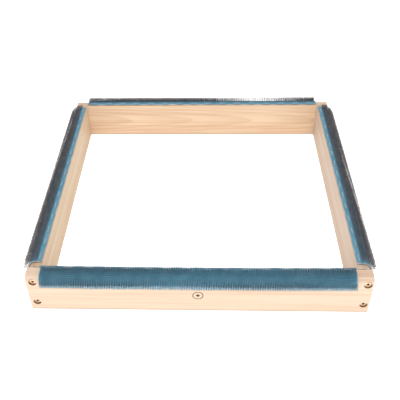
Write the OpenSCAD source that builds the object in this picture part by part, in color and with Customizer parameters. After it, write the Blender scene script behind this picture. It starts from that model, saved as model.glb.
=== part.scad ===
// Grip frame for stretching a foundation cloth: four boards stand on edge and are screwed
// together at the corners. Each board carries a strip of wire card clothing, stapled round
// its outer top edge, whose bent wire pins hold the cloth.
// Origin: middle of the frame, on the surface it rests on. +Z is up, +X runs along the
// front board, and the marked front board is towards -Y.

/* [Frame] */
// Width of the frame, the length of the front and back boards
frame_w = 432; // [360:1:600]
// Depth of the frame, from the front board's outer face to the back board's
frame_d = 418; // [360:1:600]
// Height of the boards, which stand on edge
board_h = 60; // [58:1:90]
// Thickness of the boards
board_t = 18; // [18:0.1:18.2]
// Radius of each board's rounded outer top edge
top_round_r = 11; // [9:0.5:11]
// Radius of all the other edges, which are only lightly eased
edge_ease = 0.8; // [0.4:0.1:1.5]

/* [Grip strips] */
// Width of a strip before it is wrapped round the edge: 1 1/4 inch
strip_w = 31.75; // [31.75:0.25:34]
// Distance from a board's inner face to its strip's inner edge
strip_inset = 0.5; // [0.2:0.1:0.5]
// Gap between a front or back strip's end and the side board's inner face
long_strip_gap = 1.5; // [1.5:0.5:10]
// Gap between a side strip's end and the seam with the front or back board
side_strip_gap = 8; // [4:0.5:20]
// How far the front strip sits towards -X of the middle
front_strip_shift = 1.4; // [0:0.1:3]
// Thickness of the woven backing
cloth_t = 1.2; // [0.8:0.1:1.6]
// Thickness of the rubber facing on the backing
rubber_t = 0.8; // [0.5:0.1:1.2]
// Height of the wire pins above the rubber
pin_h = 7; // [3:0.5:8]
// Bare margin between a strip's inner edge and the first pins
inner_margin = 6; // [5:0.5:6]
// The same margin on the front strip, which is cut closer
front_inner_margin = 4.2; // [4:0.1:6]
// Bare margin between the last pins and a strip's outer edge
outer_margin = 5.5; // [4:0.5:5.5]

/* [Staples] */
// Outside width of a staple's crown
staple_crown = 10.6; // [8:0.1:13]
// Outside height of a staple
staple_leg = 8; // [6:0.5:10]
// Width of the flat staple wire
staple_wire_w = 1.25; // [0.8:0.05:1.4]
// Thickness of the flat staple wire
staple_wire_t = 0.5; // [0.4:0.05:0.8]
// Largest distance between neighbouring staples
staple_pitch = 25; // [20:1:40]
// Distance from a strip's cut end to its first staple's middle
staple_end = 11; // [8:0.5:20]
// Where the inner staples lie in the inner margin, as a share of its width from the strip's edge
inner_staple_share = 0.58; // [0.4:0.02:0.6]

/* [Screws] */
// Length of a screw
screw_len = 50; // [40:5:60]
// Diameter of a screw's head
screw_head_d = 8.4; // [7:0.1:9]
// Diameter of the plain shank, and of the thread over its crests
screw_d = 4.2; // [3.5:0.1:4.5]
// Diameter of the thread at its root
screw_root_d = 2.8; // [2.2:0.1:3]
// Diameter of the recess that sinks the head below the board's face
recess_d = 10; // [9.5:0.1:12]
// Depth of that recess
recess_depth = 2; // [2:0.5:4]
// Height of the lower screw in each corner
screw_low_z = 14; // [10:1:20]
// Height of the upper screw in each corner
screw_high_z = 50; // [40:1:50]
// How far the front right screws sit outwards of the right board's middle
front_right_shift = 1.8; // [0:0.1:2.5]

/* [Front mark] */
// Outside diameter of the burnt ring
mark_d = 14; // [10:1:18]
// Width of the burnt ring's line
mark_line = 1.1; // [0.6:0.1:2]
// Depth of the mark
mark_depth = 0.3; // [0.2:0.1:0.6]
// Height of the mark's middle
mark_z = 29; // [20:1:30]

/* [Hidden] */
$fn = 64;

wood = [0.93, 0.83, 0.68];
cloth = [0.62, 0.6, 0.56];
rubber = [0.33, 0.55, 0.68];
wire = [0.4, 0.41, 0.43];
galvanised = [0.75, 0.76, 0.78];
yellow_zinc = [0.78, 0.62, 0.33];

// Quarter turns of the four sides, counted from the front board
FRONT = 0;
RIGHT = 90;
BACK = 180;
LEFT = 270;

side_board_l = frame_d - 2 * board_t;
long_strip_l = frame_w - 2 * board_t - 2 * long_strip_gap;
side_strip_l = side_board_l - 2 * side_strip_gap;
foundation_t = cloth_t + rubber_t;

// The strip runs flat along the top, round the edge, then down the outer face. Its width is
// measured half way through its thickness.
round_start_z = board_h - top_round_r;
strip_top_edge = board_t - strip_inset;
strip_flat = strip_top_edge - top_round_r;
strip_arc = PI / 2 * (top_round_r + foundation_t / 2);
strip_low_z = round_start_z - (strip_w - strip_flat - strip_arc);
pins_low_z = strip_low_z + outer_margin;
outer_staple_z = strip_low_z + outer_margin / 2;

head_rim = 0.4;
thread_pitch = 2;
tip_len = 4;
thread_start = board_t - recess_depth + 1;
thread_turns = floor((screw_len - tip_len - thread_start) / thread_pitch);
bore_clearance = 0.05;
cross_w = 1.1;
cross_l = 4.6;
cross_depth = 1.9;
cut = 1;

// ---- placing ----

// A side is drawn as if it were the front one: its outer face in the plane y = 0, facing -Y.
module on_side(side) {
    out = (side == FRONT || side == BACK) ? frame_d / 2 : frame_w / 2;
    rotate([0, 0, side]) translate([0, -out, 0]) children();
}

// Stretches an outline, drawn as (distance from the outer face, height), along the board.
module along_board(length) {
    rotate([90, 0, 90]) linear_extrude(height = length, center = true) children();
}

function inner_margin_of(side) = (side == FRONT) ? front_inner_margin : inner_margin;

// Where the middles of a row of staples lie along a strip of this length
function staple_places(length) =
    let (span = length - 2 * staple_end, gaps = ceil(span / staple_pitch))
    [for (i = [0 : gaps]) -span / 2 + i * span / gaps];

// How far a corner's screws sit outwards of the side board's middle. The end is -1 or 1 along
// the end board, as seen from its outer face.
function screw_shift(side, end) = (side == FRONT && end == 1) ? front_right_shift : 0;

function screw_x(side, end) = end * ((frame_w - board_t) / 2 + screw_shift(side, end));

// ---- boards ----

module eased_rect(w, h) {
    square([w - 2 * edge_ease, h], center = true);
    square([w, h - 2 * edge_ease], center = true);
    for (x = [-1, 1], y = [-1, 1])
        translate([x * (w / 2 - edge_ease), y * (h / 2 - edge_ease)]) circle(r = edge_ease);
}

module board_section() {
    difference() {
        translate([board_t / 2, board_h / 2]) eased_rect(board_t, board_h);
        translate([0, round_start_z]) difference() {
            translate([-cut, 0]) square(top_round_r + cut);
            translate([top_round_r, 0]) circle(r = top_round_r);
        }
    }
}

// The section, with the edges of both ends eased in plan and in elevation
module plain_board(length) {
    intersection() {
        along_board(length) board_section();
        translate([0, board_t / 2, -cut])
            linear_extrude(height = board_h + 2 * cut) eased_rect(length, board_t);
        translate([0, board_t + cut, board_h / 2]) rotate([90, 0, 0])
            linear_extrude(height = board_t + 2 * cut) eased_rect(length, board_h);
    }
}

// A plain recess, the cone that the head seats in, and the clearance hole for the shank
module screw_seat() {
    seat_r = screw_head_d / 2;
    hole_r = screw_d / 2 + bore_clearance;
    translate([0, 0, -cut]) cylinder(r = recess_d / 2, h = recess_depth + cut);
    translate([0, 0, recess_depth]) cylinder(r = seat_r, h = head_rim);
    translate([0, 0, recess_depth + head_rim])
        cylinder(r1 = seat_r, r2 = hole_r, h = seat_r - hole_r);
    cylinder(r = hole_r, h = board_t + cut);
}

module pilot_hole() {
    depth = recess_depth + screw_len - board_t;
    translate([0, 0, -cut]) cylinder(r = screw_d / 2 + bore_clearance, h = depth + 2 * cut);
}

// A plain ring round a small diamond
module front_mark() {
    translate([0, mark_depth, mark_z]) rotate([90, 0, 0]) {
        difference() {
            cylinder(d = mark_d, h = mark_depth + cut);
            translate([0, 0, -cut]) cylinder(d = mark_d - 2 * mark_line, h = mark_depth + 3 * cut);
        }
        cylinder(r = mark_d / 5, h = mark_depth + cut, $fn = 4);
    }
}

module end_board(side, strip_l, strip_shift) {
    color(wood) on_side(side) difference() {
        plain_board(frame_w);
        for (end = [-1, 1], z = [screw_low_z, screw_high_z])
            translate([screw_x(side, end), 0, z]) rotate([-90, 0, 0]) screw_seat();
        translate([strip_shift, 0, 0]) all_staples(side, strip_l);
        if (side == FRONT) front_mark();
    }
}

// The same shift at a side board's end, which is -1 or 1 along it as seen from its outer face
function pilot_shift(side, end) = (side == RIGHT && end == -1) ? front_right_shift : 0;

module side_board(side) {
    color(wood) on_side(side) difference() {
        plain_board(side_board_l);
        for (x = [-1, 1], z = [screw_low_z, screw_high_z])
            translate([x * side_board_l / 2, board_t / 2 - pilot_shift(side, x), z])
                rotate([0, -90 * x, 0]) pilot_hole();
        all_staples(side, side_strip_l);
    }
}

// ---- grip strips ----

// Outline of a layer wrapped round the outer top edge, from low to high above the wood
module wrapped_layer(low, high, top_edge, low_z) {
    translate([top_round_r, board_h + low]) square([top_edge - top_round_r, high - low]);
    translate([-high, low_z]) square([high - low, round_start_z - low_z]);
    intersection() {
        translate([top_round_r, round_start_z]) difference() {
            circle(r = top_round_r + high);
            circle(r = top_round_r + low);
        }
        translate([-high, round_start_z]) square(top_round_r + high);
    }
}

module strip_backing(side, length, shift) {
    color(cloth) on_side(side) translate([shift, 0, 0]) difference() {
        along_board(length) wrapped_layer(0, cloth_t, strip_top_edge, strip_low_z);
        all_staples(side, length);
    }
}

module strip_rubber(side, length, shift) {
    color(rubber) on_side(side) translate([shift, 0, 0]) difference() {
        along_board(length) wrapped_layer(cloth_t, foundation_t, strip_top_edge, strip_low_z);
        all_staples(side, length);
    }
}

// The space that the rows of wire pins fill, from the rubber to their points
module strip_pins(side, length, shift) {
    pins_top_edge = strip_top_edge - inner_margin_of(side);
    color(wire) on_side(side) translate([shift, 0, 0]) along_board(length)
        wrapped_layer(foundation_t, foundation_t + pin_h, pins_top_edge, pins_low_z);
}

// ---- staples ----

// One staple, its crown on the plane z = 0 and its legs downwards
module staple() {
    translate([-staple_crown / 2, -staple_wire_w / 2, 0])
        cube([staple_crown, staple_wire_w, staple_wire_t]);
    for (x = [-staple_crown / 2, staple_crown / 2 - staple_wire_t])
        translate([x, -staple_wire_w / 2, staple_wire_t - staple_leg])
            cube([staple_wire_t, staple_wire_w, staple_leg]);
}

module inner_staples(side, length) {
    y = strip_top_edge - inner_staple_share * inner_margin_of(side);
    for (x = staple_places(length)) translate([x, y, board_h + foundation_t]) staple();
}

module outer_staples(length) {
    for (x = staple_places(length))
        translate([x, -foundation_t, outer_staple_z]) rotate([90, 0, 0]) staple();
}

module all_staples(side, length) {
    inner_staples(side, length);
    outer_staples(length);
}

module inner_row(side, length, shift) {
    color(galvanised) on_side(side) translate([shift, 0, 0]) inner_staples(side, length);
}

module outer_row(side, length, shift) {
    color(galvanised) on_side(side) translate([shift, 0, 0]) outer_staples(length);
}

// ---- screws ----

// Half section of a countersunk screw, as (radius, distance from the top of the head)
function screw_outline() =
    let (head_r = screw_head_d / 2, shank_r = screw_d / 2, root_r = screw_root_d / 2)
    concat(
        [[0, 0], [head_r, 0], [head_r, head_rim], [shank_r, head_rim + head_r - shank_r]],
        [[shank_r, thread_start - 1], [root_r, thread_start]],
        [for (i = [0 : thread_turns - 1]) each [
            [shank_r, thread_start + (i + 0.5) * thread_pitch],
            [root_r, thread_start + (i + 1) * thread_pitch]
        ]],
        [[0, screw_len]]
    );

module screw() {
    difference() {
        rotate_extrude() polygon(screw_outline());
        for (turn = [0, 90])
            rotate([0, 0, turn]) translate([-cross_l / 2, -cross_w / 2, -cut])
                cube([cross_l, cross_w, cross_depth + cut]);
    }
}

// One corner screw: end is -1 or 1 along the board as seen from its outer face
module corner_screw(side, end, z) {
    color(yellow_zinc) on_side(side)
        translate([screw_x(side, end), recess_depth, z]) rotate([-90, 0, 0]) screw();
}

// ---- nodes ----

end_board(FRONT, long_strip_l, -front_strip_shift);  // front_board
end_board(BACK, long_strip_l, 0);  // back_board
side_board(LEFT);  // left_board
side_board(RIGHT);  // right_board

strip_backing(FRONT, long_strip_l, -front_strip_shift);  // front_strip_backing
strip_backing(BACK, long_strip_l, 0);  // back_strip_backing
strip_backing(LEFT, side_strip_l, 0);  // left_strip_backing
strip_backing(RIGHT, side_strip_l, 0);  // right_strip_backing

strip_rubber(FRONT, long_strip_l, -front_strip_shift);  // front_strip_rubber
strip_rubber(BACK, long_strip_l, 0);  // back_strip_rubber
strip_rubber(LEFT, side_strip_l, 0);  // left_strip_rubber
strip_rubber(RIGHT, side_strip_l, 0);  // right_strip_rubber

strip_pins(FRONT, long_strip_l, -front_strip_shift);  // front_strip_pins
strip_pins(BACK, long_strip_l, 0);  // back_strip_pins
strip_pins(LEFT, side_strip_l, 0);  // left_strip_pins
strip_pins(RIGHT, side_strip_l, 0);  // right_strip_pins

inner_row(FRONT, long_strip_l, -front_strip_shift);  // front_inner_staples
inner_row(BACK, long_strip_l, 0);  // back_inner_staples
inner_row(LEFT, side_strip_l, 0);  // left_inner_staples
inner_row(RIGHT, side_strip_l, 0);  // right_inner_staples

outer_row(FRONT, long_strip_l, -front_strip_shift);  // front_outer_staples
outer_row(BACK, long_strip_l, 0);  // back_outer_staples
outer_row(LEFT, side_strip_l, 0);  // left_outer_staples
outer_row(RIGHT, side_strip_l, 0);  // right_outer_staples

corner_screw(FRONT, -1, screw_low_z);  // front_left_low_screw
corner_screw(FRONT, -1, screw_high_z);  // front_left_high_screw
corner_screw(FRONT, 1, screw_low_z);  // front_right_low_screw
corner_screw(FRONT, 1, screw_high_z);  // front_right_high_screw
corner_screw(BACK, 1, screw_low_z);  // back_left_low_screw
corner_screw(BACK, 1, screw_high_z);  // back_left_high_screw
corner_screw(BACK, -1, screw_low_z);  // back_right_low_screw
corner_screw(BACK, -1, screw_high_z);  // back_right_high_screw
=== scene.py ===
"""The looks of a hand loom frame: four boards on edge, each wrapped in a strip of wire card clothing."""
import math

import bpy
import numpy as np
from mathutils import Matrix, Vector


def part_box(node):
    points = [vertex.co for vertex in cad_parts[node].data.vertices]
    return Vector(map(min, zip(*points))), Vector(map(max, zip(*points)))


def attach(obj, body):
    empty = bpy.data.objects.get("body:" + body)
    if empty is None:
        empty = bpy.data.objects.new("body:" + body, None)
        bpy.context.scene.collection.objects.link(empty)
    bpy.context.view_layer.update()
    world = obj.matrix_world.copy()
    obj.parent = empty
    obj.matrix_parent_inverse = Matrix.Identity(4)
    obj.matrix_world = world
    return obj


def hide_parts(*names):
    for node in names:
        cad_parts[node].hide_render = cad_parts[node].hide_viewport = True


MM = 0.001
QUARTER_TURN = math.pi / 2

SIDE_TURNS = {"front": 0, "right": 90, "back": 180, "left": 270}  # degrees about Z, from the front
ROUND_RADIUS = 11 * MM  # of every board's outer top edge

# The screw recesses, and the mark on the front board.
RECESS_RADIUS = 5 * MM
RECESS_DEPTH = 2 * MM
MARK_Z = 29 * MM
MARK_RADIUS = 7 * MM

# The card clothing's cloth backing and rubber face.
STRIP_COLUMNS = 200  # points along it
STRIP_ROWS = 44  # points across it
RUBBER_TRIM = 0.15 * MM  # from the cloth's cut edges to the rubber's
INNER_LIFT = (0.35 * MM, 0.3 * MM)  # how far an edge rises between two staples, and how much that varies
OUTER_LIFT = (0.3 * MM, 0.25 * MM)
INNER_RAGGED = (0.3 * MM, 17 * MM)  # how far a cut edge strays, and over what length
OUTER_RAGGED = (0.35 * MM, 21 * MM)
END_RAGGED = (0.3 * MM, 9 * MM)
END_RAGGED_REACH = 3 * MM  # how far along the strip its end's straying is felt
MARGIN_FADE = 1.3  # the power by which lift and straying die out between an edge and the pins

# How far each strip was laid down in a bow, its ends further in than its middle.
STRIP_BOWS = {"front": 1.3 * MM, "right": 0.3 * MM, "back": 0.5 * MM, "left": -0.3 * MM}

# The card clothing's wires. Each staple-shaped wire shows two pins, side by side along the strip.
WIRE_PITCH = 3 * MM
WIRE_ROW_GAP = 1.72 * MM
WIRE_ROW_SHIFT = -1 / 16  # of a pitch, from one row to the next
WIRE_TWIN_GAP = 1.2 * MM
WIRE_END_GAP = 0.9 * MM  # from the last wire's middle to the strip's cut end
WIRE_RADII = (0.21 * MM, 0.21 * MM, 0.21 * MM, 0.17 * MM)  # in the rubber, twice at the knee, below the point
WIRE_SIDES = 6
ROOT_DEPTH = 0.4 * MM
KNEE_HEIGHT = 2.8 * MM
KNEE_BEND = 0.5 * MM  # how far the bend reaches above and below the knee
KNEE_SET_BACK = 0.7 * MM
KNEE_START = 0.8  # the share of the set-back that a pin has where its bend starts
TIP_LEAN = 0.6 * MM  # how far a tip stands out past its root, towards the strip's outer edge
POINT_LENGTH = 0.5 * MM
SWAY_SHARES = (0, 0.2, 0.4, 0.92, 1)  # of the tip's sway along the strip, from a pin's root to its tip

# How uneven the wires are.
ROOT_SPREAD = 0.05 * MM
LEAN_WANDER = (0.25 * MM, 23 * MM)  # how far the lean drifts, and over what length
LEAN_SPREAD = 0.16 * MM
SWAY_SPREAD = 0.14 * MM
TIP_HEIGHT_SPREAD = 0.15 * MM
KNEE_HEIGHT_SPREAD = 0.08 * MM
BENT_SHARE = 0.02  # of the pins are knocked out of line
BENT_REACH = 0.9 * MM
BENT_DROP = 0.4 * MM

# The staples that hold a strip down.
STAPLE_CROWN = 10.6 * MM
STAPLE_LEG = 8 * MM
STAPLE_WIDTH = 1.25 * MM
STAPLE_THICKNESS = 0.5 * MM
STAPLE_BEND = 0.7 * MM
STAPLE_BEND_STEPS = 4
STAPLE_EDGE_ROUND = 0.12 * MM
STAPLE_PITCH_MAX = 25 * MM
STAPLE_END_GAP = 11 * MM
OUTER_STAPLE_INSET = 2.75 * MM  # from the strip's outer edge
STAPLE_ASKEW = 2.2  # degrees, in the strip's surface
STAPLE_DIP = 0.9  # degrees, out of it
STAPLE_DRIFT = (0.5 * MM, 0.2 * MM)  # along and across the strip
STAPLE_SINK = 0.06 * MM  # into the rubber

# The wood screws.
SCREW_HEAD_RADIUS = 4.2 * MM
SCREW_RIM_SHARE = 0.97  # of the head's radius, at its flat top
SCREW_RIM_DEPTH = 0.12 * MM
SCREW_LAND_DEPTH = 0.25 * MM  # where the head's cone starts
SCREW_SHANK_RADIUS = 1.75 * MM
SCREW_SHANK_RING = 8 * MM  # the depth of one more ring of points, which keeps the shank's faces short
SCREW_SHANK_LENGTH = 17 * MM
SCREW_CREST_RADIUS = 2.1 * MM
SCREW_ROOT_RADIUS = 1.4 * MM
SCREW_THREAD_PITCH = 2.2 * MM
SCREW_THREAD_STEPS = 10  # rings of points to each turn
SCREW_THREAD_FLANK = 0.2  # of a pitch, from a ridge's crest to its foot
SCREW_POINT_LENGTH = 5 * MM
SCREW_POINT_SHARE = 0.06  # of the full radius, at the very tip
SCREW_SEGMENTS = 32

# The cross recess at its top and at its foot: how far it reaches from the axis, half the width of
# its slots, and its height over the head, all in millimetres.
CROSS_SECTIONS = ((2.6, 0.9, 0.4), (0.9, 0.4, -2.3))

# The angle between faces, in degrees, over which an edge stays sharp.
BOARD_SHARP = 25
SHEET_SHARP = 40
WIRE_SHARP = 50
SCREW_SHARP = 30

# The floor.
FLOOR_DROP = 0.05 * MM  # below the boards' undersides, which keeps the two surfaces apart
FLOOR_REACH = 14.0
FLOOR_RINGS = 24
FLOOR_SECTORS = 64
FLOOR_SUNK_RINGS = 3  # at the far edge
FLOOR_SINK = 0.02  # of each of those rings, below the one before

# The camera, which stands at the photograph's viewing angle.
CAMERA_PLACE = (0.01218, -0.71155, 0.61767)
CAMERA_YAW = 3.046  # degrees
CAMERA_DOWN = 40.677  # degrees
CAMERA_ROLL = -1.793  # degrees
CAMERA_LENS = 54.645
CAMERA_SENSOR = 36
CAMERA_SHIFT = (0.0415, 0.0040)


def rgb(red, green, blue):
    """A colour given as 0 to 255 screen values, as the linear colour that a shader takes."""
    return tuple(((value / 255 + 0.055) / 1.055) ** 2.4 for value in (red, green, blue)) + (1,)


# Each board's wood: its pale and deep colours, the place of its pith in the board's own space, the
# pith's slope in radians, and the distance from ring to ring.
BOARD_WOOD = {
    "front": dict(
        pale=rgb(226, 204, 182), deep=rgb(210, 175, 147),
        pith=(0, -0.03, 0.12), tilt=(0, 0.006, 0.0), ring_gap=1.8 * MM,
    ),
    "right": dict(
        pale=rgb(206, 189, 171), deep=rgb(182, 154, 132),
        pith=(0, -0.05, 0.10), tilt=(0, 0.012, 0.0), ring_gap=2.4 * MM,
    ),
    "back": dict(
        pale=rgb(226, 200, 171), deep=rgb(204, 166, 133),
        pith=(0.1, -0.075, -0.03), tilt=(0, 0.0, 0.02), ring_gap=2.1 * MM,
    ),
    "left": dict(
        pale=rgb(212, 193, 166), deep=rgb(184, 153, 122),
        pith=(0, -0.06, 0.09), tilt=(0, -0.012, 0.0), ring_gap=2.4 * MM,
    ),
}
WOOD_AT_JOINTS = rgb(124, 84, 54)
WOOD_IN_RECESSES = rgb(112, 76, 48)
WOOD_BURNT = rgb(74, 54, 42)
# The painted shade along each board's lowest edge.
WOOD_FOOT_SHADE = rgb(158, 130, 108)

# How fine the wood's figure is along, across and up the board: features to the metre.
STREAK_SCALE = (3, 260, 260)
FIBRE_SCALE = (30, 1800, 1800)
BLOTCH_SCALE = (6, 20, 20)

# Colours that come in pairs are the two ends of a soft, patchy variation.
# Among the pins the rubber is darkened by painted shade from the wires, with some grime; the inner margin is
# darkened less, by painted shade from the pins beside it.
RUBBER_SHADE_AND_GRIME_AMONG_PINS = (rgb(72, 136, 164), rgb(96, 154, 178))
RUBBER_INNER_SHADED = (rgb(86, 142, 168), rgb(112, 160, 180))
RUBBER_OUTER = (rgb(124, 166, 184), rgb(144, 180, 196))
RUBBER_DUST = rgb(182, 198, 206)
RUBBER_CUT = rgb(182, 173, 161)
CLOTH = (rgb(196, 190, 180), rgb(236, 230, 220))
# The brown of glue and painted shadow at the bottom of the cloth's cut edges.
GLUE_AND_SHADOW = rgb(72, 48, 32)
PIN_STEEL = (rgb(100, 97, 99), rgb(130, 127, 130))
STAPLE_STEEL = (rgb(164, 184, 197), rgb(194, 208, 217))
YELLOW_ZINC = (rgb(226, 192, 156), rgb(244, 216, 186))
# The painted shade in the screws' cross recesses.
ZINC_RECESS_SHADE = rgb(84, 58, 36)
TABLE = (rgb(246, 246, 246), rgb(250, 250, 250))


class Side:
    """One side of the loom in its own space: x along the board, y in from its outer face, z up.

    A place on its strip is given by how far it is along the board, how far across the strip from the
    strip's inner edge, and how high above the board.
    """

    def __init__(self, name, turn):
        self.name = name
        self.turn = turn
        spin = Matrix.Rotation(math.radians(turn), 4, "Z")
        self.outer_face = self.box_in(spin, "board")[0].y
        self.space = spin @ Matrix.Translation((0, self.outer_face, 0))
        self.measure_board()
        self.measure_strip()
        self.has_screws = name in ("front", "back")
        if self.has_screws:
            self.screw_middle, self.screw_reach = self.screw_pattern()

    def box_in(self, space, part):
        """The lowest and highest corner of one of this side's CAD nodes, in that space."""
        corners = [space.inverted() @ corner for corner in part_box(f"{self.name}_{part}")]
        return Vector(map(min, *corners)), Vector(map(max, *corners))

    def measure_board(self):
        high = self.box_in(self.space, "board")[1]
        self.board_end = high.x
        self.board_thickness = high.y
        self.board_height = high.z

    def measure_strip(self):
        """The strip's place and layers, its flat part and its bend, and where its pins start and stop."""
        backing = self.box_in(self.space, "strip_backing")
        rubber = self.box_in(self.space, "strip_rubber")
        pins = self.box_in(self.space, "strip_pins")
        staples = self.box_in(self.space, "inner_staples")
        self.start = backing[0].x
        self.length = backing[1].x - backing[0].x
        self.inner_edge = backing[1].y
        self.backing_top = -backing[0].y
        self.rubber_top = -rubber[0].y
        self.pin_height = -pins[0].y - self.rubber_top
        self.flat = self.inner_edge - ROUND_RADIUS
        self.bend = ROUND_RADIUS + self.rubber_top / 2
        self.arc = self.bend * QUARTER_TURN
        self.width = self.flat + self.arc + self.board_height - ROUND_RADIUS - backing[0].z
        self.pins_from = backing[1].y - pins[1].y
        self.pins_to = self.width - (pins[0].z - backing[0].z)
        self.inner_staple_inset = self.inner_edge - (staples[0].y + staples[1].y) / 2

    def screw_pattern(self):
        """The middle of this side's four screws, and how far each stands from it along x and z."""
        boxes = [self.box_in(self.space, part) for part in ("left_low_screw", "right_high_screw")]
        low, high = sorted(((box[0] + box[1]) / 2 for box in boxes), key=lambda centre: centre.z)
        return (low + high) / 2, (abs(high.x - low.x) / 2, (high.z - low.z) / 2)

    def on_path(self, across, height):
        """The y and z of points that far across the strip and that high above the board."""
        turn = self.turn_at(across)
        below_round = np.maximum(across - self.flat - self.arc, 0)
        y = self.inner_edge - np.minimum(across, self.flat) - (ROUND_RADIUS + height) * np.sin(turn)
        z = self.board_height - ROUND_RADIUS - below_round + (ROUND_RADIUS + height) * np.cos(turn)
        return y, z

    def turn_at(self, across):
        """How far the strip has turned over the rounded edge, in radians."""
        return np.clip((across - self.flat) / self.bend, 0, QUARTER_TURN)

    def bow(self, along):
        """How far across the strip it lies off its straight line, at places along it."""
        off_middle = (along - self.start) / self.length * 2 - 1
        return STRIP_BOWS[self.name] * (1 / 3 - off_middle**2)

    def staple_places(self):
        """Where a row's staples stand along the strip."""
        reach = self.length - 2 * STAPLE_END_GAP
        gaps = math.ceil(reach / STAPLE_PITCH_MAX)
        return self.start + STAPLE_END_GAP + np.arange(gaps + 1) * reach / gaps


def random_for(side, purpose):
    """A random source for each side and purpose, so that a change in one piece leaves the others."""
    return np.random.default_rng([list(SIDE_TURNS).index(side.name), sum(map(ord, purpose))])


def soft_noise(rng, places, period):
    """A smooth random curve from -1 to 1 through the places, with about that period."""
    knots = np.arange(places.min() - 2 * period, places.max() + 3 * period, period)
    values = rng.uniform(-1, 1, len(knots))
    index = np.clip(np.searchsorted(knots, places) - 1, 0, len(knots) - 2)
    share = (places - knots[index]) / period
    share = share * share * (3 - 2 * share)
    return values[index] * (1 - share) + values[index + 1] * share


# ---------------------------------------------------------------------------------------------- pieces


def add_piece(name, points, faces, material, stands_for):
    """A piece of the loom made from points and faces, which replaces a CAD node."""
    mesh = bpy.data.meshes.new(name)
    mesh.from_pydata(np.asarray(points).tolist(), [], faces)
    mesh.validate()
    return add_mesh_piece(name, mesh, material, stands_for)


def add_mesh_piece(name, mesh, material, stands_for):
    mesh.materials.append(material)
    piece = bpy.data.objects.new(name, mesh)
    bpy.context.scene.collection.objects.link(piece)
    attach(piece, "root")
    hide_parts(stands_for)
    return piece


def smooth_by_angle(mesh, degrees):
    """Smooth shading, with sharp edges where the faces meet at more than that angle."""
    mesh.shade_smooth()
    mesh.set_sharp_from_angle(angle=math.radians(degrees))


def place(side, points):
    """Points in a side's own space, moved to the whole loom's frame."""
    turn = np.array(side.space)
    return points @ turn[:3, :3].T + turn[:3, 3]


def strip_sheet(side, bottom, top, trim):
    """Points and faces of a closed sheet, wrapped over the board's edge between two heights."""
    rng = random_for(side, "strip")
    along = np.linspace(side.start + trim, side.start + side.length - trim, STRIP_COLUMNS)
    across = np.linspace(trim, side.width - trim, STRIP_ROWS)
    inner = np.clip(1 - across / side.pins_from, 0, 1) ** MARGIN_FADE
    outer = np.clip(1 - (side.width - across) / (side.width - side.pins_to), 0, 1) ** MARGIN_FADE
    lift = strip_lift(side, rng, along, inner, outer)
    x, laid_at = ragged_grid(side, rng, along, across, inner, outer)
    layers = []
    for height in (bottom, top):
        y, z = side.on_path(laid_at, height + lift)
        layers.append(np.stack([x, y, z], -1).reshape(-1, 3))
    return np.concatenate(layers), closed_grid_faces(STRIP_COLUMNS, STRIP_ROWS)


def strip_lift(side, rng, along, inner, outer):
    """How far the sheet rises off its bed, which it does at its edges between the staples."""
    staples = side.staple_places()
    gap = staples[1] - staples[0]
    between = np.sin((along - staples[0]) / gap * math.pi) ** 2
    lift = 0
    for (rise, variation), margin in ((INNER_LIFT, inner), (OUTER_LIFT, outer)):
        lift = lift + np.outer(between * (rise + variation * soft_noise(rng, along, gap)), margin)
    return np.maximum(lift, 0)


def ragged_grid(side, rng, along, across, inner, outer):
    """The sheet's grid of places along and across the strip, bowed and with unevenly cut edges."""
    x, laid_at = np.meshgrid(along, across, indexing="ij")
    for (size, period), margin in ((INNER_RAGGED, inner), (OUTER_RAGGED, outer)):
        laid_at = laid_at + np.outer(size * soft_noise(rng, along, period), margin)
    laid_at = laid_at + side.bow(x)
    size, period = END_RAGGED
    end_share = np.clip(1 - (along - along[0]) / END_RAGGED_REACH, 0, 1)
    return x + np.outer(end_share, size * soft_noise(rng, across, period)), laid_at


def closed_grid_faces(columns, rows):
    """Quads of a closed slab whose two layers are grids of that many points, the lower layer first."""
    index = np.arange(columns * rows).reshape(columns, rows)
    low = quads_between(index[:-1, :-1], index[:-1, 1:], index[1:, 1:], index[1:, :-1])
    high = low[:, ::-1] + columns * rows
    rim = np.concatenate([index[:-1, 0], index[-1, :-1], index[:0:-1, -1], index[0, :0:-1]])
    following = np.roll(rim, -1)
    walls = np.stack([rim, following, following + columns * rows, rim + columns * rows], -1)
    return np.concatenate([low, high, walls]).tolist()


def quads_between(a, b, c, d):
    return np.stack([a.ravel(), b.ravel(), c.ravel(), d.ravel()], -1)


def add_backing(side, material):
    """The strip's cloth, a sheet with the size it was cut to."""
    points, faces = strip_sheet(side, 0, side.backing_top, trim=0)
    name = f"{side.name}_strip_backing_cloth"
    stands_for = f"{side.name}_strip_backing"
    piece = add_piece(name, place(side, points), faces, material, stands_for)
    smooth_by_angle(piece.data, SHEET_SHARP)


def add_rubber(side, material):
    points, faces = strip_sheet(side, side.backing_top, side.rubber_top, trim=RUBBER_TRIM)
    name = f"{side.name}_strip_rubber_skin"
    piece = add_piece(name, place(side, points), faces, material, f"{side.name}_strip_rubber")
    smooth_by_angle(piece.data, SHEET_SHARP)


def wire_roots(side, rng):
    """Where each pin stands: its place along the strip and its distance across it."""
    rows = int((side.pins_to - side.pins_from - 2 * WIRE_RADII[0]) / WIRE_ROW_GAP) + 1
    first_row = (side.pins_from + side.pins_to - (rows - 1) * WIRE_ROW_GAP) / 2
    first_wire = side.start + WIRE_END_GAP
    last_wire = side.start + side.length - WIRE_END_GAP
    along, across = [], []
    for row in range(rows):
        shift = row * WIRE_ROW_SHIFT % 1 * WIRE_PITCH
        wires = np.arange(first_wire + shift, last_wire, WIRE_PITCH)
        for twin in (-0.5, 0.5):
            along.append(wires + twin * WIRE_TWIN_GAP)
            across.append(np.full(len(wires), first_row + row * WIRE_ROW_GAP) + side.bow(wires))
    along = np.concatenate(along)
    across = np.concatenate(across)
    across = across + rng.normal(0, ROOT_SPREAD, len(across))
    along = along + rng.normal(0, ROOT_SPREAD, len(along))
    return along, across


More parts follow.
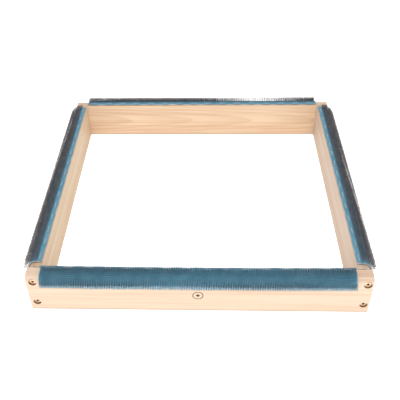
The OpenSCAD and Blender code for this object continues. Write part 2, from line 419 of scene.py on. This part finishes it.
def wire_centrelines(side, rng):
    """Five points on each pin's centreline, from inside the rubber to the tip, in the side's space."""
    along, across = wire_roots(side, rng)
    count = len(along)
    zero = np.zeros(count)
    size, period = LEAN_WANDER
    lean = TIP_LEAN + size * soft_noise(rng, along, period) + rng.normal(0, LEAN_SPREAD, count)
    sway = rng.normal(0, SWAY_SPREAD, count)
    bent = rng.random(count) < BENT_SHARE
    lean = np.where(bent, lean + rng.uniform(-BENT_REACH, BENT_REACH, count), lean)
    sway = np.where(bent, rng.uniform(-BENT_REACH, BENT_REACH, count), sway)
    tip = side.pin_height - np.abs(rng.normal(0, TIP_HEIGHT_SPREAD, count)) - np.where(bent, BENT_DROP, 0)
    knee = KNEE_HEIGHT + rng.normal(0, KNEE_HEIGHT_SPREAD, count)
    slope = (lean + KNEE_SET_BACK) / (tip - knee)
    stops = [
        (zero - ROOT_DEPTH, zero),
        (knee - KNEE_BEND, zero - KNEE_SET_BACK * KNEE_START),
        (knee + KNEE_BEND, slope * KNEE_BEND - KNEE_SET_BACK),
        (tip - POINT_LENGTH, lean - slope * POINT_LENGTH),
        (tip, lean),
    ]
    turn = side.turn_at(across)
    outward = np.stack([zero, -np.sin(turn), np.cos(turn)], -1)
    across_way = np.stack([zero, -np.cos(turn), -np.sin(turn)], -1)
    y, z = side.on_path(across, side.rubber_top)
    centres = []
    for (height, out), share in zip(stops, SWAY_SHARES):
        root = np.stack([along + share * sway, y, z], -1)
        centres.append(root + outward * height[:, None] + across_way * out[:, None])
    return centres


def wire_rings(centres):
    """The corners of each wire's section at each point of its centreline but the last, which is its tip."""
    angles = np.arange(WIRE_SIDES) * 2 * math.pi / WIRE_SIDES
    rings = []
    for step, radius in enumerate(WIRE_RADII):
        way = centres[step + 1] - centres[max(step - 1, 0)]
        way = way / np.linalg.norm(way, axis=1)[:, None]
        first = np.cross(way, np.array([[0.0, 1.0, 1.0]]))
        first = first / np.linalg.norm(first, axis=1)[:, None]
        second = np.cross(way, first)
        spokes = np.cos(angles)[:, None] * first[:, None] + np.sin(angles)[:, None] * second[:, None]
        rings.append(centres[step][:, None] + radius * spokes)
    return rings


def wire_faces():
    """One wire's faces, by number of corners: its walls, its point and the flat end in the rubber."""
    walls, point = [], []
    last_ring = (len(WIRE_RADII) - 1) * WIRE_SIDES
    for corner in range(WIRE_SIDES):
        after = (corner + 1) % WIRE_SIDES
        for low in range(0, last_ring, WIRE_SIDES):
            high = low + WIRE_SIDES
            walls.append((low + corner, low + after, high + after, high + corner))
        point.append((last_ring + corner, last_ring + after, last_ring + WIRE_SIDES))
    return walls, point, [tuple(reversed(range(WIRE_SIDES)))]


def add_pins(side, material):
    """All the bent wires of one strip. Each is a closed six-sided tube that ends in a point."""
    centres = wire_centrelines(side, random_for(side, "pins"))
    points = np.concatenate(wire_rings(centres) + [centres[-1][:, None]], axis=1)
    wires, corners_each = points.shape[:2]
    starts = np.arange(wires)[:, None, None] * corners_each
    faces = []
    for kind in wire_faces():
        faces += (np.array(kind) + starts).reshape(-1, len(kind[0])).tolist()
    name = f"{side.name}_strip_wires"
    points = place(side, points.reshape(-1, 3))
    piece = add_piece(name, points, faces, material, f"{side.name}_strip_pins")
    smooth_by_angle(piece.data, WIRE_SHARP)


def tube_faces(rings, corners):
    """Faces of a closed tube: its walls from each ring of corners to the next, and its two flat ends."""
    faces = []
    last = (rings - 1) * corners
    for low in range(0, last, corners):
        high = low + corners
        for corner in range(corners):
            after = (corner + 1) % corners
            faces.append((low + corner, high + corner, high + after, low + after))
    faces.append(tuple(range(corners)))
    faces.append(tuple(reversed(range(last, last + corners))))
    return faces


def rounded_section(width, thickness, round_by):
    """Eight corners of a flat wire's section, centred on the origin."""
    half_w, half_t = width / 2, thickness / 2
    return [
        (half_w - round_by, -half_t), (half_w, -half_t + round_by),
        (half_w, half_t - round_by), (half_w - round_by, half_t),
        (-half_w + round_by, half_t), (-half_w, half_t - round_by),
        (-half_w, -half_t + round_by), (-half_w + round_by, -half_t),
    ]


def staple_path():
    """Places on a staple's centreline and the way it runs there: x along its crown, z up its legs."""
    half = STAPLE_CROWN / 2 - STAPLE_THICKNESS / 2
    stops = [((-half, -STAPLE_LEG), (0, 1)), ((-half, -STAPLE_BEND), (0, 1))]
    for step in range(1, STAPLE_BEND_STEPS):
        turn = step / STAPLE_BEND_STEPS * QUARTER_TURN
        x = -half + STAPLE_BEND - STAPLE_BEND * math.cos(turn)
        z = -STAPLE_BEND + STAPLE_BEND * math.sin(turn)
        stops.append(((x, z), (math.sin(turn), math.cos(turn))))
    stops.append(((-half + STAPLE_BEND, 0), (1, 0)))
    mirrored = [((-x, z), (way_x, -way_z)) for (x, z), (way_x, way_z) in reversed(stops)]
    return stops + [((0, 0), (1, 0))] + mirrored


def staple_mesh():
    """Points and faces of one staple, its crown along x with its underside at z = 0."""
    section = rounded_section(STAPLE_WIDTH, STAPLE_THICKNESS, STAPLE_EDGE_ROUND)
    path = staple_path()
    points = []
    for (x, z), (way_x, way_z) in path:
        for aside, up in section:
            points.append((x - way_z * up, aside, z + way_x * up + STAPLE_THICKNESS / 2))
    return np.array(points), tube_faces(len(path), len(section))


def add_staples(side, row, across, material):
    """A row of staples, each set a little askew."""
    rng = random_for(side, row + "staples")
    shape, shape_faces = staple_mesh()
    points, faces = [], []
    for along in side.staple_places():
        laid_at = across + side.bow(along)
        y, z = side.on_path(laid_at, side.rubber_top)
        askew = Matrix.Rotation(math.radians(rng.normal(0, STAPLE_ASKEW)), 4, "Z")
        dip = Matrix.Rotation(math.radians(rng.normal(0, STAPLE_DIP)), 4, "Y")
        over_edge = Matrix.Rotation(float(side.turn_at(laid_at)), 4, "X")
        drift = Vector((*(rng.normal(0, spread) for spread in STAPLE_DRIFT), -STAPLE_SINK))
        spot = Matrix.Translation((along, float(y), float(z)))
        turned = np.array(spot @ over_edge @ Matrix.Translation(drift) @ askew @ dip)
        first = len(points) * len(shape)
        faces += [tuple(first + corner for corner in face) for face in shape_faces]
        points.append(shape @ turned[:3, :3].T + turned[:3, 3])
    name = f"{side.name}_{row}_staple_row"
    points = place(side, np.concatenate(points))
    piece = add_piece(name, points, faces, material, f"{side.name}_{row}_staples")
    smooth_by_angle(piece.data, WIRE_SHARP)


def screw_radius(depth, angle, length):
    """The screw's radius at a depth below the top of its head, at an angle round its axis."""
    cone_end = SCREW_LAND_DEPTH + SCREW_HEAD_RADIUS - SCREW_SHANK_RADIUS
    if depth == 0:
        return SCREW_HEAD_RADIUS * SCREW_RIM_SHARE
    if depth <= cone_end:
        return min(SCREW_HEAD_RADIUS, SCREW_HEAD_RADIUS - (depth - SCREW_LAND_DEPTH))
    if depth <= SCREW_SHANK_LENGTH:
        return SCREW_SHANK_RADIUS
    phase = (depth / SCREW_THREAD_PITCH - angle / (2 * math.pi)) % 1
    ridge = max(0.0, 1 - abs(phase - 0.5) / SCREW_THREAD_FLANK)
    point_share = min(1.0, (length - depth) / SCREW_POINT_LENGTH + SCREW_POINT_SHARE)
    start_share = min(1.0, (depth - SCREW_SHANK_LENGTH) / SCREW_THREAD_PITCH)
    root = SCREW_ROOT_RADIUS * point_share
    return root + (SCREW_CREST_RADIUS - SCREW_ROOT_RADIUS) * ridge * start_share * point_share


def screw_body(length):
    """Points and faces of a screw without its cross recess: head at z = 0, point at z = -length."""
    cone_end = SCREW_LAND_DEPTH + SCREW_HEAD_RADIUS - SCREW_SHANK_RADIUS
    depths = [0, SCREW_RIM_DEPTH, SCREW_LAND_DEPTH, cone_end, SCREW_SHANK_RING]
    depths += np.arange(SCREW_SHANK_LENGTH, length, SCREW_THREAD_PITCH / SCREW_THREAD_STEPS).tolist()
    depths.append(length)
    points = []
    for depth in depths:
        for angle in np.arange(SCREW_SEGMENTS) * 2 * math.pi / SCREW_SEGMENTS:
            radius = screw_radius(depth, angle, length)
            points.append((radius * math.cos(angle), radius * math.sin(angle), -depth))
    return points, tube_faces(len(depths), SCREW_SEGMENTS)


def cross_cutter():
    """Points and faces of the tapered cross that is cut into a screw's head."""
    points = []
    for reach, half_width, height in CROSS_SECTIONS:
        for quarter in range(4):
            turn = Matrix.Rotation(quarter * QUARTER_TURN, 3, "Z")
            for x, y in ((half_width, -half_width), (reach, -half_width), (reach, half_width)):
                points.append(tuple(turn @ Vector((x, y, height)) * MM))
    corners = len(points) // 2
    walls = []
    for corner in range(corners):
        after = (corner + 1) % corners
        walls.append((corner, corners + corner, corners + after, after))
    top = tuple(range(corners))
    foot = tuple(reversed(range(corners, 2 * corners)))
    return points, [top, foot, *walls]


def screw_mesh(length):
    """The finished screw, its cross recess cut by a boolean that is applied at once."""
    items = []
    for label, (points, faces) in (("screw", screw_body(length)), ("cross", cross_cutter())):
        mesh = bpy.data.meshes.new(label)
        mesh.from_pydata(points, [], faces)
        item = bpy.data.objects.new(label, mesh)
        bpy.context.scene.collection.objects.link(item)
        items.append(item)
    body, cutter = items
    cut = body.modifiers.new("cross", "BOOLEAN")
    cut.object = cutter
    cut.operation = "DIFFERENCE"
    cut.solver = "EXACT"
    bpy.context.view_layer.update()
    finished = bpy.data.meshes.new_from_object(body.evaluated_get(bpy.context.evaluated_depsgraph_get()))
    for item in items:
        bpy.data.objects.remove(item)
    finished.materials.clear()
    smooth_by_angle(finished, SCREW_SHARP)
    return finished


def add_screws(side, material):
    """The four screws that come through the front or back board, each turned by its own amount."""
    rng = random_for(side, "screws")
    for end in ("left", "right"):
        for level in ("low", "high"):
            part = f"{end}_{level}_screw"
            low, high = side.box_in(side.space, part)
            mesh = screw_mesh(high.y - low.y)
            centre = ((low.x + high.x) / 2, low.y, (low.z + high.z) / 2)
            outwards = Matrix.Rotation(QUARTER_TURN, 4, "X")
            turned = Matrix.Rotation(rng.uniform(0, math.pi), 4, "Z")
            mesh.transform(side.space @ Matrix.Translation(centre) @ outwards @ turned)
            name = f"{side.name}_{part}_detailed"
            add_mesh_piece(name, mesh, material, f"{side.name}_{part}")


# ------------------------------------------------------------------------------------------- materials


class Look:
    """A material with one Principled shader, and short calls that add nodes to it.

    In these calls, spot is the point in a side's own space.
    """

    def __init__(self, name, **shader_values):
        self.material = bpy.data.materials.new(name)
        self.material.use_nodes = True
        self.tree = self.material.node_tree
        self.shader = self.tree.nodes["Principled BSDF"]
        for socket, value in shader_values.items():
            self.shader.inputs[socket.replace("_", " ")].default_value = value

    def feed(self, socket, value):
        if isinstance(value, bpy.types.NodeSocket):
            self.tree.links.new(value, socket)
        else:
            socket.default_value = value

    def node(self, kind, inputs, **settings):
        node = self.tree.nodes.new(kind)
        for setting, value in settings.items():
            setattr(node, setting, value)
        for socket, value in inputs.items():
            self.feed(node.inputs[socket], value)
        return node

    def place(self, turn=(0, 0, 0)):
        """The point in the whole loom's frame, in metres, turned about its origin."""
        return self.mapped(self.node("ShaderNodeTexCoord", {}).outputs["Object"], turn=turn)

    def mapped(self, vector, scale=(1, 1, 1), move=(0, 0, 0), turn=(0, 0, 0)):
        inputs = {"Vector": vector, "Scale": scale, "Location": move, "Rotation": turn}
        return self.node("ShaderNodeMapping", inputs).outputs["Vector"]

    def in_side(self, side):
        """The point in a side's own space."""
        turned = self.place(turn=(0, 0, -math.radians(side.turn)))
        return self.mapped(turned, move=(0, -side.outer_face, 0))

    def split(self, vector):
        return self.node("ShaderNodeSeparateXYZ", {"Vector": vector}).outputs

    def math(self, operation, a, b=0.0):
        return self.node("ShaderNodeMath", {0: a, 1: b}, operation=operation).outputs[0]

    def times(self, a, b):
        return self.math("MULTIPLY", a, b)

    def minus(self, a, b):
        return self.math("SUBTRACT", a, b)

    def off_middle(self, value, middle=0.0):
        """How far the value is from a middle, either way."""
        return self.math("ABSOLUTE", self.minus(value, middle))

    def distance(self, a, b):
        """The length of the vector with these two parts."""
        return self.math("SQRT", self.math("ADD", self.times(a, a), self.times(b, b)))

    def spread(self, value, low, high, to_low=0.0, to_high=1.0):
        """The value, stretched from one range to another and held within it."""
        inputs = {"Value": value, "From Min": low, "From Max": high, "To Min": to_low, "To Max": to_high}
        return self.node("ShaderNodeMapRange", inputs).outputs["Result"]

    def past(self, value, edge, fade):
        """0 up to the edge, and 1 once past it by the fade."""
        return self.spread(value, edge, edge + fade)

    def before(self, value, edge, fade):
        """1 up to the edge, and 0 once past it by the fade."""
        return self.spread(value, edge, edge + fade, 1, 0)

    def noise(self, vector, scale, detail=3.0):
        inputs = {"Vector": vector, "Scale": scale, "Detail": detail, "Roughness": 0.55}
        return self.node("ShaderNodeTexNoise", inputs).outputs["Fac"]

    def mix(self, factor, a, b):
        node = self.node("ShaderNodeMix", {}, data_type="RGBA")
        self.feed(node.inputs["Factor"], factor)
        colour_a, colour_b = [socket for socket in node.inputs if socket.type == "RGBA"]
        self.feed(colour_a, a)
        self.feed(colour_b, b)
        return next(socket for socket in node.outputs if socket.type == "RGBA")

    def patchy(self, patches, pair):
        """The pair's first colour where the patches are low, and its second where they are high."""
        return self.mix(self.spread(patches, 0.35, 0.7), *pair)

    def bump(self, height, distance, strength=1.0, under=None):
        inputs = {"Height": height, "Distance": distance, "Strength": strength}
        if under is not None:
            inputs["Normal"] = under
        return self.node("ShaderNodeBump", inputs).outputs["Normal"]

    def finish(self, colour=None, roughness=None, normal=None):
        for socket, value in (("Base Color", colour), ("Roughness", roughness), ("Normal", normal)):
            if value is not None:
                self.feed(self.shader.inputs[socket], value)
        return self.material


def from_screw(look, spot, side):
    """The distance from the axis of the nearest of the side's screws."""
    x, _, z = look.split(spot)
    reach_x, reach_z = side.screw_reach
    off_x = look.minus(look.off_middle(x, side.screw_middle.x), reach_x)
    off_z = look.minus(look.off_middle(z, side.screw_middle.z), reach_z)
    return look.distance(off_x, off_z)


def drilled(look, spot, side):
    """1 on the walls and floors of the screw recesses, 0 elsewhere."""
    y = look.split(spot)[1]
    near = look.before(from_screw(look, spot, side), RECESS_RADIUS + 0.1 * MM, 0.2 * MM)
    sunk = look.past(y, 0.1 * MM, 0.8 * MM)
    before_side_boards = look.before(y, 8 * MM, 1 * MM)
    return look.times(near, look.times(sunk, before_side_boards))


def joined(look, spot, side):
    """1 along the seams where the ends of the side boards meet the front and back boards."""
    x, y, _ = look.split(spot)
    from_middle = look.off_middle(x)
    if not side.has_screws:
        return look.past(from_middle, side.board_end - 0.7 * MM, 0.5 * MM)
    beside = look.past(from_middle, side.board_end - side.board_thickness, 0.5 * MM)
    behind = look.past(y, side.board_thickness - 0.5 * MM, 0.4 * MM)
    return look.times(beside, behind)


def burnt(look, spot):
    """1 in the mark that is burnt into the front board, 0 elsewhere."""
    x, y, z = look.split(spot)
    near = look.before(look.distance(x, look.minus(z, MARK_Z)), MARK_RADIUS + 0.1 * MM, 0.2 * MM)
    sunk = look.past(y, 0.05 * MM, 0.1 * MM)
    shallow = look.before(y, 1 * MM, 1 * MM)
    return look.times(near, look.times(sunk, shallow))


def painted_foot_shade(look, spot):
    """Painted shade along the board's lowest edge, where it stands on the table."""
    return look.spread(look.split(spot)[2], 0.8 * MM, 2.6 * MM, 0.9, 0)


def cut_end(look, spot, side):
    """1 at the strip's two cut ends, 0 elsewhere."""
    return look.past(look.off_middle(look.split(spot)[0]), side.length / 2 - 0.9 * MM, 0.4 * MM)


def growth_rings(look, spot, pith, tilt, ring_gap):
    """Saw-toothed rings round the pith, drawn out along the board."""
    from_pith = look.mapped(look.mapped(spot, move=pith, turn=tilt), scale=(0.15, 1, 1))
    inputs = {
        "Vector": from_pith, "Scale": math.pi / 10 / ring_gap, "Distortion": 2.5,
        "Detail": 3.0, "Detail Scale": 0.12, "Detail Roughness": 0.6,
    }
    settings = {"wave_type": "RINGS", "rings_direction": "X", "wave_profile": "SAW"}
    return look.node("ShaderNodeTexWave", inputs, **settings).outputs["Fac"]


def wood_look(side, pale, deep, pith, tilt, ring_gap):
    """Pale softwood: growth rings round a slightly tilted pith, long streaks, and fine fibres."""
    look = Look(f"{side.name}_wood", Specular_IOR_Level=0.3)
    spot = look.in_side(side)
    rings = growth_rings(look, spot, pith, tilt, ring_gap)
    streaks = look.noise(look.mapped(spot, scale=STREAK_SCALE), 1.0, detail=4)
    fibres = look.noise(look.mapped(spot, scale=FIBRE_SCALE), 1.0, detail=2)
    blotches = look.noise(look.mapped(spot, scale=BLOTCH_SCALE), 1.0, detail=2)
    late_wood = look.times(look.spread(rings, 0.3, 1.0), look.spread(streaks, 0.3, 0.7, 0.4, 1.0))
    colour = look.patchy(blotches, (pale, look.mix(0.35, pale, deep)))
    colour = look.mix(look.times(late_wood, 0.75), colour, deep)
    colour = look.mix(look.spread(streaks, 0.45, 0.68, 0, 0.7), colour, deep)
    colour = look.mix(look.spread(fibres, 0.5, 0.8, 0, 0.2), colour, deep)
    colour = look.mix(look.times(joined(look, spot, side), 0.85), colour, WOOD_AT_JOINTS)
    if side.has_screws:
        colour = look.mix(look.times(drilled(look, spot, side), 0.85), colour, WOOD_IN_RECESSES)
    if side.name == "front":
        colour = look.mix(burnt(look, spot), colour, WOOD_BURNT)
    # Painted shade along the board's foot.
    colour = look.mix(painted_foot_shade(look, spot), colour, WOOD_FOOT_SHADE)
    normal = look.bump(fibres, 0.05 * MM, 0.6)
    normal = look.bump(late_wood, 0.03 * MM, 0.3, under=normal)
    return look.finish(colour, look.spread(fibres, 0.3, 0.7, 0.5, 0.62), normal)


def rubber_look(side):
    """Blue rubber: darkened among the pins by painted shade and some grime, darkened less on the inner margin
    by painted shade from the pins, and light grey-blue and dusty in the bare outer margin.
    """
    look = Look(f"{side.name}_blue_rubber", Specular_IOR_Level=0.4)
    spot = look.in_side(side)
    patches = look.noise(spot, 70.0)
    grain = look.noise(spot, 2200.0, detail=2)
    dust = look.spread(grain, 0.5, 0.75, 0, 0.3)
    outer_bare = look.mix(dust, look.patchy(patches, RUBBER_OUTER), RUBBER_DUST)
    _, y, z = look.split(spot)
    last_inner_pin = side.inner_edge - side.pins_from
    last_outer_pin = side.board_height - ROUND_RADIUS - (side.pins_to - side.flat - side.arc)
    # Painted shade among the pins, and less of it on the inner margin.
    inner = look.past(y, last_inner_pin - 0.3 * MM, 1 * MM)
    outer = look.before(z, last_outer_pin - 0.7 * MM, 1 * MM)
    colour = look.mix(inner, look.patchy(patches, RUBBER_SHADE_AND_GRIME_AMONG_PINS), look.patchy(patches, RUBBER_INNER_SHADED))
    colour = look.mix(outer, colour, outer_bare)
    if not side.has_screws:
        colour = look.mix(look.times(cut_end(look, spot, side), 0.7), colour, RUBBER_CUT)
    return look.finish(colour, look.spread(grain, 0.3, 0.7, 0.5, 0.7), look.bump(grain, 0.05 * MM, 0.5))


def backing_look(side):
    """The cut edge of the glued plies: a brown line of glue and painted shadow, with pale cloth over it."""
    look = Look(f"{side.name}_laminated_cloth", Roughness=0.9)
    spot = look.in_side(side)
    weave = look.noise(spot, 1800.0, detail=2)
    _, y, z = look.split(spot)
    out = look.math("MAXIMUM", look.minus(ROUND_RADIUS, y), 0)
    up = look.math("MAXIMUM", look.minus(z, side.board_height - ROUND_RADIUS), 0)
    height = look.minus(look.distance(out, up), ROUND_RADIUS)
    glue_and_shadow = look.before(height, 0.9 * MM, 0.2 * MM)
    colour = look.mix(glue_and_shadow, look.mix(weave, *CLOTH), GLUE_AND_SHADOW)
    return look.finish(colour, normal=look.bump(weave, 0.1 * MM, 0.8))


def steel_look(name, colours, roughness, metallic):
    """Drawn steel wire, a little uneven in colour and in shine."""
    look = Look(name, Metallic=metallic)
    spot = look.place()
    patches = look.noise(spot, 160.0, detail=2)
    grain = look.noise(spot, 4000.0, detail=1)
    rough = look.spread(grain, 0.3, 0.7, roughness - 0.08, roughness + 0.08)
    return look.finish(look.patchy(patches, colours), rough, look.bump(grain, 0.01 * MM, 0.3))


def zinc_look(side):
    """Yellow zinc plating, with painted shade in the screws' cross recesses."""
    look = Look(f"{side.name}_yellow_zinc", Metallic=1.0)
    spot = look.in_side(side)
    patches = look.noise(spot, 160.0, detail=2)
    near = look.before(from_screw(look, spot, side), 2.6 * MM, 0.2 * MM)
    sunk = look.past(look.split(spot)[1], RECESS_DEPTH + 0.2 * MM, 0.4 * MM)
    colour = look.mix(look.times(near, sunk), look.patchy(patches, YELLOW_ZINC), ZINC_RECESS_SHADE)
    return look.finish(colour, look.spread(patches, 0.3, 0.7, 0.3, 0.42))


def floor_look():
    """A white table that glows a little, which washes out the shadows as in the photograph."""
    look = Look("backlit_table", Roughness=0.9, Specular_IOR_Level=0.1, Emission_Strength=0.65)
    look.shader.inputs["Emission Color"].default_value = (1, 1, 1, 1)
    return look.finish(look.mix(look.noise(look.place(), 3.0, detail=1), *TABLE))


def finish_board(mesh, side):
    """The CAD board keeps its shape, and gets smooth shading round its edge and its wood."""
    smooth_by_angle(mesh, BOARD_SHARP)
    mesh.materials.clear()
    mesh.materials.append(wood_look(side, **BOARD_WOOD[side.name]))


# --------------------------------------------------------------------------------- light, camera, floor


def add_floor():
    """A wide, plain, pale table top, whose far edge sinks a little."""
    points, faces = [(0, 0, -FLOOR_DROP)], []
    for ring in range(1, FLOOR_RINGS + 1):
        radius = FLOOR_REACH * (ring / FLOOR_RINGS) ** 2
        height = -FLOOR_DROP - FLOOR_SINK * max(0, ring - FLOOR_RINGS + FLOOR_SUNK_RINGS)
        for sector in range(FLOOR_SECTORS):
            angle = sector / FLOOR_SECTORS * 2 * math.pi
            points.append((radius * math.cos(angle), radius * math.sin(angle), height))
    for sector in range(FLOOR_SECTORS):
        after = (sector + 1) % FLOOR_SECTORS
        faces.append((0, 1 + sector, 1 + after))
        for low in range(1, 1 + (FLOOR_RINGS - 1) * FLOOR_SECTORS, FLOOR_SECTORS):
            high = low + FLOOR_SECTORS
            faces.append((low + sector, high + sector, high + after, low + after))
    mesh = bpy.data.meshes.new("floor")
    mesh.from_pydata(points, [], faces)
    mesh.materials.append(floor_look())
    floor = bpy.data.objects.new("floor", mesh)
    bpy.context.scene.collection.objects.link(floor)


def add_light(name, place_at, aim_at, size, power):
    light = bpy.data.lights.new(name, "AREA")
    light.size = size
    light.energy = power
    lamp = bpy.data.objects.new(name, light)
    bpy.context.scene.collection.objects.link(lamp)
    lamp.location = place_at
    lamp.rotation_euler = (Vector(aim_at) - Vector(place_at)).to_track_quat("-Z", "Y").to_euler()


def add_sky():
    """Even white light from all round."""
    world = bpy.data.worlds.new("studio")
    world.use_nodes = True
    sky = world.node_tree.nodes["Background"]
    sky.inputs["Color"].default_value = (1, 1, 1, 1)
    sky.inputs["Strength"].default_value = 1.0
    bpy.context.scene.world = world


def add_camera():
    """The camera at the photograph's viewing angle."""
    camera = bpy.data.cameras.new("camera")
    camera.lens = CAMERA_LENS
    camera.sensor_width = CAMERA_SENSOR
    camera.shift_x, camera.shift_y = CAMERA_SHIFT
    camera.clip_start = 0.01
    holder = bpy.data.objects.new("camera", camera)
    bpy.context.scene.collection.objects.link(holder)
    yaw = Matrix.Rotation(math.radians(CAMERA_YAW), 4, "Z")
    down = Matrix.Rotation(QUARTER_TURN - math.radians(CAMERA_DOWN), 4, "X")
    roll = Matrix.Rotation(math.radians(CAMERA_ROLL), 4, "Z")
    holder.matrix_world = Matrix.Translation(CAMERA_PLACE) @ yaw @ down @ roll
    bpy.context.scene.camera = holder


# ------------------------------------------------------------------------------------------------ main


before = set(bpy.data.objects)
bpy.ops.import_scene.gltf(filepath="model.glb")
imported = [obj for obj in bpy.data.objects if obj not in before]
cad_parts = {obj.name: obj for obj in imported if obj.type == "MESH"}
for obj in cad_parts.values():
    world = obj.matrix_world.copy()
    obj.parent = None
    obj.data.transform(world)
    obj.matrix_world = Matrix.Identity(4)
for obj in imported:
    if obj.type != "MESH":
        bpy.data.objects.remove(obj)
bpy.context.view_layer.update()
bpy.context.scene.view_settings.view_transform = "Standard"

add_camera()
add_floor()
add_sky()
add_light("key", place_at=(0.05, -1.0, 0.55), aim_at=(0, -0.2, 0.03), size=0.5, power=2)

pin_steel = steel_look("pin_wire", PIN_STEEL, roughness=0.55, metallic=0.7)
staple_steel = steel_look("staple_wire", STAPLE_STEEL, roughness=0.4, metallic=1.0)
for name, turn in SIDE_TURNS.items():
    side = Side(name, turn)
    finish_board(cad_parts[f"{name}_board"].data, side)
    add_backing(side, backing_look(side))
    add_rubber(side, rubber_look(side))
    add_pins(side, pin_steel)
    add_staples(side, "inner", side.inner_staple_inset, staple_steel)
    add_staples(side, "outer", side.width - OUTER_STAPLE_INSET, staple_steel)
    if side.has_screws:
        add_screws(side, zinc_look(side))
